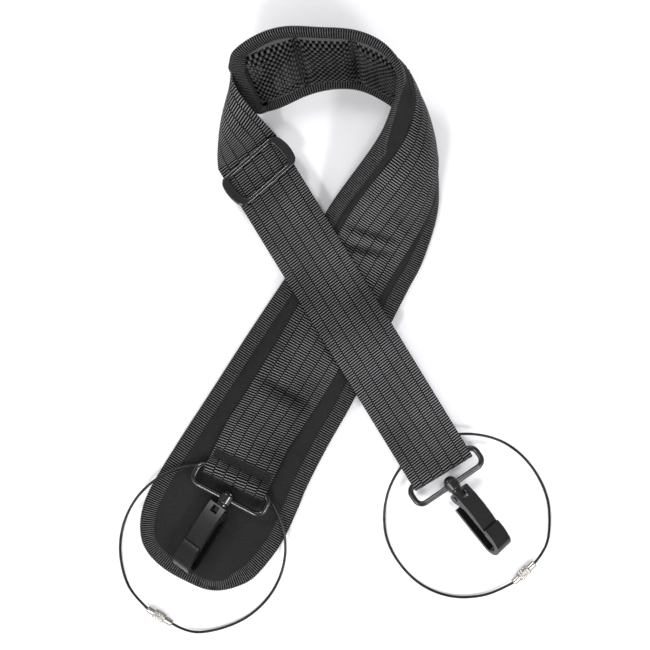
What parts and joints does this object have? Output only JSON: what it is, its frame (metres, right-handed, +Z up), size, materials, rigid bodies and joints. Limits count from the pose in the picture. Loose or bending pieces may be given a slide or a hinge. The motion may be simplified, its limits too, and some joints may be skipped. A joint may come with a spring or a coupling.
{
  "type": "saxophone neck strap",
  "caption": "Padded neck band folded into a standing loop, with a webbing strap through a slider to swivel snap hooks and wire safety rings.",
  "frame": {"origin": "centre of the bounding box of the strap and metalwork on the table plane, wire rings left out", "axes": "+Y from the hooks to the neck loop, +Z up from the table, +X to the right hook's side"},
  "size_m": [0.2462, 0.3371, 0.0672],
  "materials": {
    "neoprene": "matte",
    "foam": "matte",
    "mesh": "matte",
    "binding": "satin",
    "webbing": "satin",
    "black_metal": "gloss",
    "spring_steel": "satin",
    "cable_coat": "gloss",
    "nickel": "gloss"
  },
  "bodies": {
    "strap": {"pad_outer_panel": "neoprene", "pad_foam_cells": "foam", "pad_mesh_lining": "mesh", "pad_edge_tape": "binding", "webbing_strap": "webbing", "left_ring_cable": "cable_coat", "left_ring_socket": "nickel", "left_ring_plug": "nickel", "right_ring_cable": "cable_coat", "right_ring_socket": "nickel", "right_ring_plug": "nickel"},
    "slider": {"slider_frame": "black_metal", "strap_end_loop": "webbing"},
    "left_bail": {"left_bail": "black_metal"},
    "left_hook": {"left_swivel_rivet": "black_metal", "left_hook_body": "black_metal", "left_gate_pin": "black_metal", "left_gate_spring": "spring_steel"},
    "left_gate": {"left_gate": "black_metal"},
    "left_sleeve": {"left_ring_sleeve": "nickel"},
    "right_bail": {"right_bail": "black_metal"},
    "right_hook": {"right_swivel_rivet": "black_metal", "right_hook_body": "black_metal", "right_gate_pin": "black_metal", "right_gate_spring": "spring_steel"},
    "right_gate": {"right_gate": "black_metal"},
    "right_sleeve": {"right_ring_sleeve": "nickel"}
  },
  "joints": [
    {"name": "slider_slide", "type": "slide", "parent": "strap", "child": "slider", "axis": [0.5223, -0.8524, 0.026], "range_m": [0, 0.018]},
    {"name": "left_bail_tilt", "type": "hinge", "parent": "strap", "child": "left_bail", "pos_m": [-0.052, -0.092, 0.01245], "axis": [-0.887, 0.4617, 0], "range_deg": [0, 110]},
    {"name": "left_hook_swivel", "type": "hinge", "parent": "left_bail", "child": "left_hook", "pos_m": [-0.05754, -0.10264, 0.01276], "axis": [-0.5445, -0.8384, 0.0262], "continuous": true},
    {"name": "left_gate_hinge", "type": "hinge", "parent": "left_hook", "child": "left_gate", "pos_m": [-0.06187, -0.10838, 0.01404], "axis": [0.7661, -0.4843, 0.4225], "range_deg": [0, 15], "stiffness_Nm_per_rad": 0.05, "springref_deg": -20.05},
    {"name": "left_sleeve_turn", "type": "hinge", "parent": "strap", "child": "left_sleeve", "pos_m": [-0.0955, -0.17025, 0.0029], "axis": [0.8548, -0.519, 0], "continuous": true},
    {"name": "right_bail_tilt", "type": "hinge", "parent": "strap", "child": "right_bail", "pos_m": [0.0634, -0.08524, 0.0077], "axis": [-0.8241, -0.5664, 0], "range_deg": [0, 110]},
    {"name": "right_hook_swivel", "type": "hinge", "parent": "right_bail", "child": "right_hook", "pos_m": [0.07019, -0.09512, 0.00812], "axis": [0.6357, -0.7712, 0.0349], "continuous": true},
    {"name": "right_gate_hinge", "type": "hinge", "parent": "right_hook", "child": "right_gate", "pos_m": [0.07521, -0.10026, 0.00941], "axis": [0.6793, 0.5374, -0.4997], "range_deg": [0, 15], "stiffness_Nm_per_rad": 0.05, "springref_deg": -20.05},
    {"name": "right_sleeve_turn", "type": "hinge", "parent": "strap", "child": "right_sleeve", "pos_m": [0.11145, -0.1455, 0.0029], "axis": [0.7334, 0.6798, 0], "continuous": true}
  ]
}
